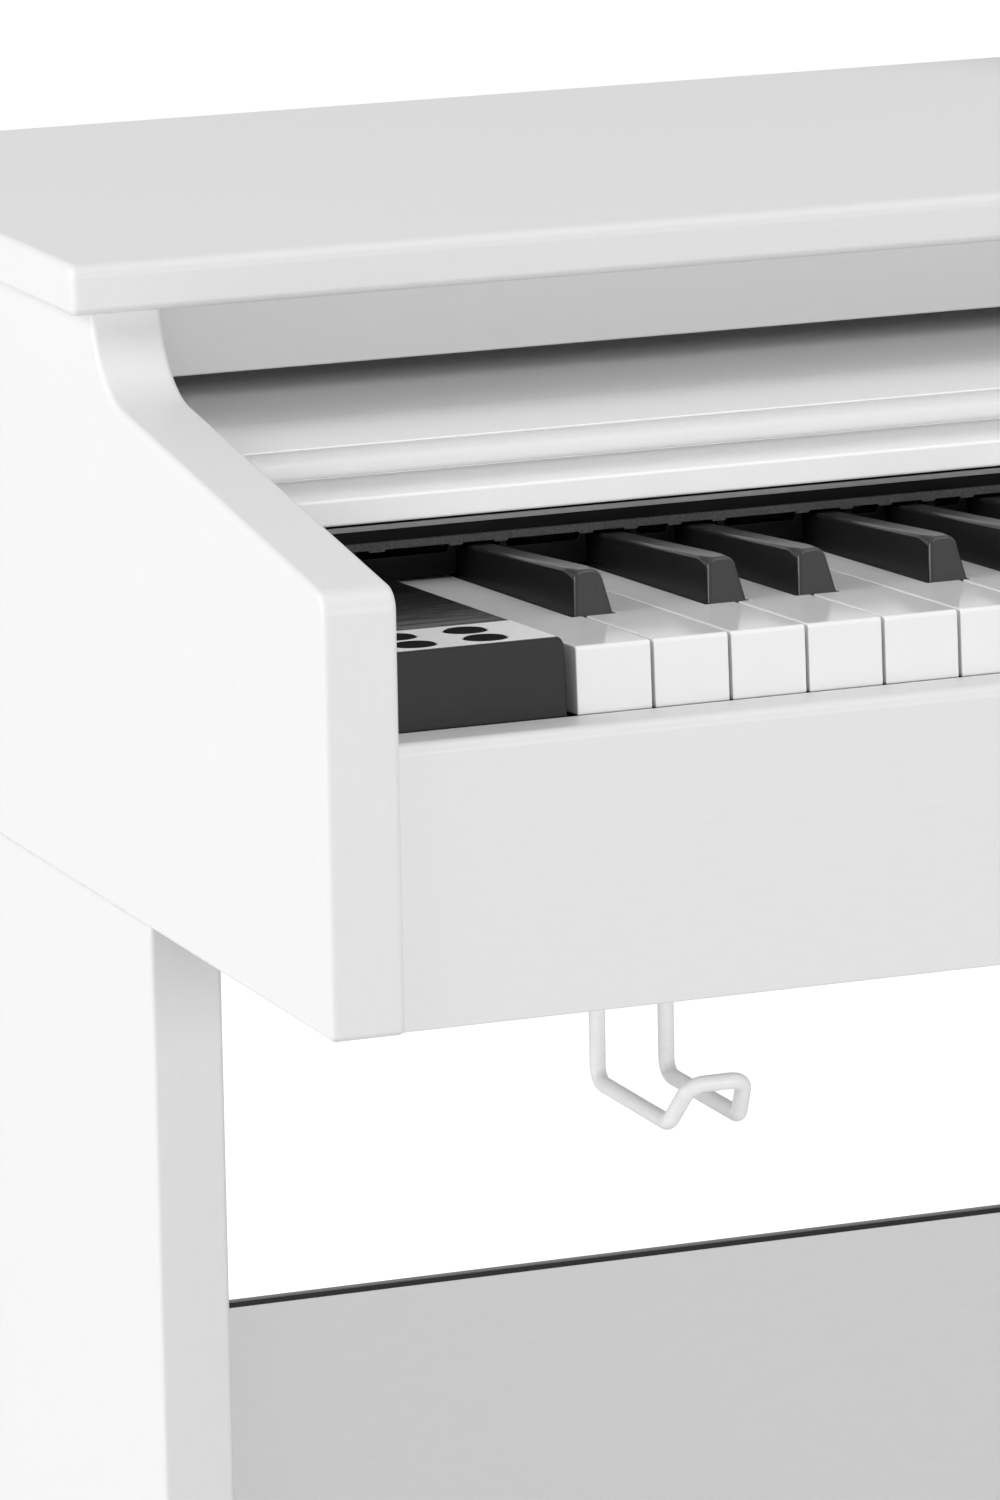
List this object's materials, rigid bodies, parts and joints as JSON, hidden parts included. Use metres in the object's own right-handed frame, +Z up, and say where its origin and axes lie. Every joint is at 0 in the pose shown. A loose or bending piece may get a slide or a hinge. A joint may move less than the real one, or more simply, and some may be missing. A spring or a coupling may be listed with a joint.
{
  "type": "digital piano on stand",
  "caption": "Full-size digital piano: a white cabinet with a sliding fallboard over black and white keys, on a panel stand with pedals and a headphone hook.",
  "frame": {"origin": "on the floor under the middle of the piano's overall box", "axes": "+Z up; +X from the lowest key towards the highest; the player sits on the -Y side"},
  "size_m": [1.403, 0.449, 1.0013],
  "materials": {
    "white_laminate": "satin white laminate",
    "board_edge": "dark edge strip",
    "ivory": "polished white key plastic",
    "ebony": "matt black key plastic",
    "black_moulding": "black moulded plastic",
    "pale_plate": "pale satin panel",
    "button_black": "dark button",
    "felt": "grey felt",
    "steel": "bare steel",
    "hook_wire": "white painted wire",
    "brass": "polished brass",
    "circuit_board": "green board",
    "speaker_cone": "black driver",
    "black_rubber": "black rubber"
  },
  "bodies": {
    "root": {"assembly_screws": "steel", "back_board_trim": "board_edge", "button_plate": "pale_plate", "cabinet_back": "white_laminate", "cabinet_brackets": "steel", "contact_board": "circuit_board", "fallboard_guides": "black_moulding", "headphone_hook": "hook_wire", "headphone_sockets": "black_moulding", "jack_panel": "black_moulding", "key_chassis": "steel", "key_cover_felt": "felt", "key_pivot_rod": "steel", "key_slip": "white_laminate", "key_stop_felt": "felt", "keybed": "white_laminate", "left_arm": "white_laminate", "left_cheek_block": "black_moulding", "left_stand_panel": "white_laminate", "main_board": "circuit_board", "music_rest": "white_laminate", "pedal_box": "white_laminate", "rear_key_cover": "black_moulding", "right_arm": "white_laminate", "right_cheek_block": "black_moulding", "right_stand_panel": "white_laminate", "speaker_grilles": "black_moulding", "speakers": "speaker_cone", "stand_back_board": "white_laminate", "stand_glides": "black_rubber", "top_board": "white_laminate", "upper_front_panel": "white_laminate"},
    "white_key_a0": {"white_key_a0": "ivory"},
    "black_key_a_sharp0": {"black_key_a_sharp0": "ebony"},
    "white_key_b0": {"white_key_b0": "ivory"},
    "white_key_c1": {"white_key_c1": "ivory"},
    "black_key_c_sharp1": {"black_key_c_sharp1": "ebony"},
    "white_key_d1": {"white_key_d1": "ivory"},
    "black_key_d_sharp1": {"black_key_d_sharp1": "ebony"},
    "white_key_e1": {"white_key_e1": "ivory"},
    "white_key_f1": {"white_key_f1": "ivory"},
    "black_key_f_sharp1": {"black_key_f_sharp1": "ebony"},
    "white_keys_low": {"white_keys_low": "ivory"},
    "white_keys_middle": {"white_keys_middle": "ivory"},
    "white_keys_high": {"white_keys_high": "ivory"},
    "black_keys_low": {"black_keys_low": "ebony"},
    "black_keys_middle": {"black_keys_middle": "ebony"},
    "black_keys_high": {"black_keys_high": "ebony"},
    "fallboard": {"fallboard_front_rail": "white_laminate", "fallboard_panel": "white_laminate"},
    "button_outer_front": {"button_outer_front": "button_black"},
    "button_outer_rear": {"button_outer_rear": "button_black"},
    "button_inner_front": {"button_inner_front": "button_black"},
    "button_inner_rear": {"button_inner_rear": "button_black"},
    "power_button": {"power_button": "button_black"},
    "volume_knob": {"volume_knob": "button_black"},
    "left_pedal": {"left_pedal": "brass"},
    "middle_pedal": {"middle_pedal": "brass"},
    "right_pedal": {"right_pedal": "brass"},
    "pedal_adjuster": {"pedal_adjuster": "black_rubber"}
  },
  "joints": [
    {"name": "white_key_a0_press", "type": "hinge", "parent": "root", "child": "white_key_a0", "pos_m": [0, 0.02022, 0.70679], "axis": [1, 0, 0], "range_deg": [0, 2.55], "stiffness_Nm_per_rad": 1, "springref_deg": -11.46},
    {"name": "black_key_a_sharp0_press", "type": "hinge", "parent": "root", "child": "black_key_a_sharp0", "pos_m": [0, 0.02022, 0.70679], "axis": [1, 0, 0], "range_deg": [0, 2.55], "stiffness_Nm_per_rad": 1, "springref_deg": -6.88},
    {"name": "white_key_b0_press", "type": "hinge", "parent": "root", "child": "white_key_b0", "pos_m": [0, 0.02022, 0.70679], "axis": [1, 0, 0], "range_deg": [0, 2.55], "stiffness_Nm_per_rad": 1, "springref_deg": -11.46},
    {"name": "white_key_c1_press", "type": "hinge", "parent": "root", "child": "white_key_c1", "pos_m": [0, 0.02022, 0.70679], "axis": [1, 0, 0], "range_deg": [0, 2.55], "stiffness_Nm_per_rad": 1, "springref_deg": -11.46},
    {"name": "black_key_c_sharp1_press", "type": "hinge", "parent": "root", "child": "black_key_c_sharp1", "pos_m": [0, 0.02022, 0.70679], "axis": [1, 0, 0], "range_deg": [0, 2.55], "stiffness_Nm_per_rad": 1, "springref_deg": -6.88},
    {"name": "white_key_d1_press", "type": "hinge", "parent": "root", "child": "white_key_d1", "pos_m": [0, 0.02022, 0.70679], "axis": [1, 0, 0], "range_deg": [0, 2.55], "stiffness_Nm_per_rad": 1, "springref_deg": -11.46},
    {"name": "black_key_d_sharp1_press", "type": "hinge", "parent": "root", "child": "black_key_d_sharp1", "pos_m": [0, 0.02022, 0.70679], "axis": [1, 0, 0], "range_deg": [0, 2.55], "stiffness_Nm_per_rad": 1, "springref_deg": -6.88},
    {"name": "white_key_e1_press", "type": "hinge", "parent": "root", "child": "white_key_e1", "pos_m": [0, 0.02022, 0.70679], "axis": [1, 0, 0], "range_deg": [0, 2.55], "stiffness_Nm_per_rad": 1, "springref_deg": -11.46},
    {"name": "white_key_f1_press", "type": "hinge", "parent": "root", "child": "white_key_f1", "pos_m": [0, 0.02022, 0.70679], "axis": [1, 0, 0], "range_deg": [0, 2.55], "stiffness_Nm_per_rad": 1, "springref_deg": -11.46},
    {"name": "black_key_f_sharp1_press", "type": "hinge", "parent": "root", "child": "black_key_f_sharp1", "pos_m": [0, 0.02022, 0.70679], "axis": [1, 0, 0], "range_deg": [0, 2.55], "stiffness_Nm_per_rad": 1, "springref_deg": -6.88},
    {"name": "white_keys_low_press", "type": "hinge", "parent": "root", "child": "white_keys_low", "pos_m": [0, 0.02022, 0.70679], "axis": [1, 0, 0], "range_deg": [0, 2.55], "stiffness_Nm_per_rad": 16, "springref_deg": -11.46},
    {"name": "white_keys_middle_press", "type": "hinge", "parent": "root", "child": "white_keys_middle", "pos_m": [0, 0.02022, 0.70679], "axis": [1, 0, 0], "range_deg": [0, 2.55], "stiffness_Nm_per_rad": 16, "springref_deg": -11.46},
    {"name": "white_keys_high_press", "type": "hinge", "parent": "root", "child": "white_keys_high", "pos_m": [0, 0.02022, 0.70679], "axis": [1, 0, 0], "range_deg": [0, 2.55], "stiffness_Nm_per_rad": 14, "springref_deg": -11.46},
    {"name": "black_keys_low_press", "type": "hinge", "parent": "root", "child": "black_keys_low", "pos_m": [0, 0.02022, 0.70679], "axis": [1, 0, 0], "range_deg": [0, 2.55], "stiffness_Nm_per_rad": 12, "springref_deg": -6.88},
    {"name": "black_keys_middle_press", "type": "hinge", "parent": "root", "child": "black_keys_middle", "pos_m": [0, 0.02022, 0.70679], "axis": [1, 0, 0], "range_deg": [0, 2.55], "stiffness_Nm_per_rad": 11, "springref_deg": -6.88},
    {"name": "black_keys_high_press", "type": "hinge", "parent": "root", "child": "black_keys_high", "pos_m": [0, 0.02022, 0.70679], "axis": [1, 0, 0], "range_deg": [0, 2.55], "stiffness_Nm_per_rad": 9, "springref_deg": -6.88},
    {"name": "fallboard_slide", "type": "slide", "parent": "root", "child": "fallboard", "axis": [0, -0.9998, -0.0175], "range_m": [0, 0.142]},
    {"name": "button_outer_front_press", "type": "slide", "parent": "root", "child": "button_outer_front", "axis": [0, -0.0499, -0.9988], "range_m": [0, 0.001], "stiffness_N_per_m": 500, "springref_m": -0.001},
    {"name": "button_outer_rear_press", "type": "slide", "parent": "root", "child": "button_outer_rear", "axis": [0, -0.0499, -0.9988], "range_m": [0, 0.001], "stiffness_N_per_m": 500, "springref_m": -0.001},
    {"name": "button_inner_front_press", "type": "slide", "parent": "root", "child": "button_inner_front", "axis": [0, -0.0499, -0.9988], "range_m": [0, 0.001], "stiffness_N_per_m": 500, "springref_m": -0.001},
    {"name": "button_inner_rear_press", "type": "slide", "parent": "root", "child": "button_inner_rear", "axis": [0, -0.0499, -0.9988], "range_m": [0, 0.001], "stiffness_N_per_m": 500, "springref_m": -0.001},
    {"name": "power_button_press", "type": "slide", "parent": "root", "child": "power_button", "axis": [0, -0.0499, -0.9988], "range_m": [0, 0.0015], "stiffness_N_per_m": 500, "springref_m": -0.001},
    {"name": "volume_knob_turn", "type": "hinge", "parent": "root", "child": "volume_knob", "pos_m": [0.6425, -0.1558, 0.7308], "axis": [0, 0.0499, 0.9988], "range_deg": [-140, 140]},
    {"name": "left_pedal_press", "type": "hinge", "parent": "root", "child": "left_pedal", "pos_m": [-0.074, 0.0656, 0.081], "axis": [1, 0, 0], "range_deg": [0, 5], "stiffness_Nm_per_rad": 20, "springref_deg": -8.59},
    {"name": "middle_pedal_press", "type": "hinge", "parent": "root", "child": "middle_pedal", "pos_m": [0, 0.0656, 0.081], "axis": [1, 0, 0], "range_deg": [0, 5], "stiffness_Nm_per_rad": 20, "springref_deg": -8.59},
    {"name": "right_pedal_press", "type": "hinge", "parent": "root", "child": "right_pedal", "pos_m": [0.074, 0.0656, 0.081], "axis": [1, 0, 0], "range_deg": [0, 5], "stiffness_Nm_per_rad": 20, "springref_deg": -8.59},
    {"name": "pedal_adjuster_height", "type": "slide", "parent": "root", "child": "pedal_adjuster", "axis": [0, 0, 1], "range_m": [0, 0.008]}
  ]
}
